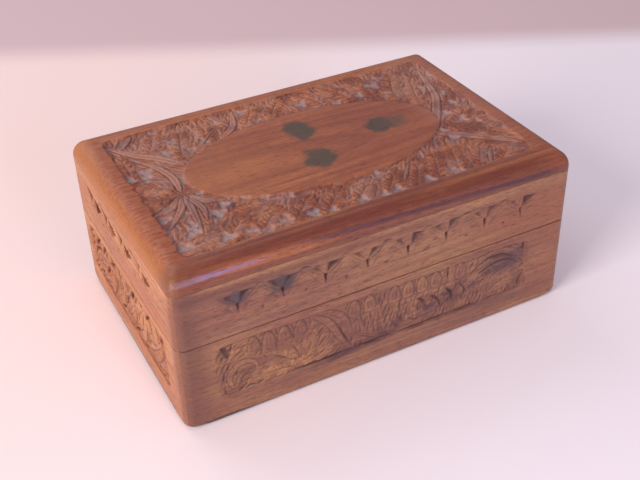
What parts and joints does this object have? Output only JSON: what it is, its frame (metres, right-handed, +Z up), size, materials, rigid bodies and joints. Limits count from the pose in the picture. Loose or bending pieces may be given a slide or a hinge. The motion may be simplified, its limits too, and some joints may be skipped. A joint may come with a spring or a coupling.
{
  "type": "carved wooden box",
  "caption": "Small rectangular wooden keepsake box with a hinged lid, a plain oval on its leaf-carved top and sunk carved panels round the base.",
  "frame": {"origin": "middle of the underside of the closed box", "axes": "+X along the front towards its right end, +Y from the front to the hinged back, +Z up"},
  "size_m": [0.152, 0.1019, 0.062],
  "materials": {
    "top_wood": "oiled carved hardwood, reddish orange-brown",
    "front_wood": "oiled carved hardwood, brown with purple heartwood streaks",
    "end_wood": "oiled carved hardwood, lighter orange-brown",
    "bottom_wood": "sanded plain board",
    "hinge_brass": "rolled brass, slightly tarnished",
    "screw_brass": "turned brass"
  },
  "bodies": {
    "base": {"base_front_wall": "front_wood", "base_back_wall": "front_wood", "base_left_wall": "end_wood", "base_right_wall": "end_wood", "bottom_board": "bottom_wood", "hinge_left_base_leaf": "hinge_brass", "hinge_left_pin": "hinge_brass", "hinge_left_base_screw_1": "screw_brass", "hinge_left_base_screw_2": "screw_brass", "hinge_right_base_leaf": "hinge_brass", "hinge_right_pin": "hinge_brass", "hinge_right_base_screw_1": "screw_brass", "hinge_right_base_screw_2": "screw_brass"},
    "lid": {"lid_front_wall": "front_wood", "lid_back_wall": "front_wood", "lid_left_wall": "end_wood", "lid_right_wall": "end_wood", "lid_top_board": "top_wood", "hinge_left_lid_leaf": "hinge_brass", "hinge_left_lid_screw_1": "screw_brass", "hinge_left_lid_screw_2": "screw_brass", "hinge_right_lid_leaf": "hinge_brass", "hinge_right_lid_screw_1": "screw_brass", "hinge_right_lid_screw_2": "screw_brass"}
  },
  "joints": [
    {"name": "lid_hinge", "type": "hinge", "parent": "base", "child": "lid", "pos_m": [0, 0.0497, 0.034], "axis": [-1, 0, 0], "range_deg": [0, 100]}
  ]
}
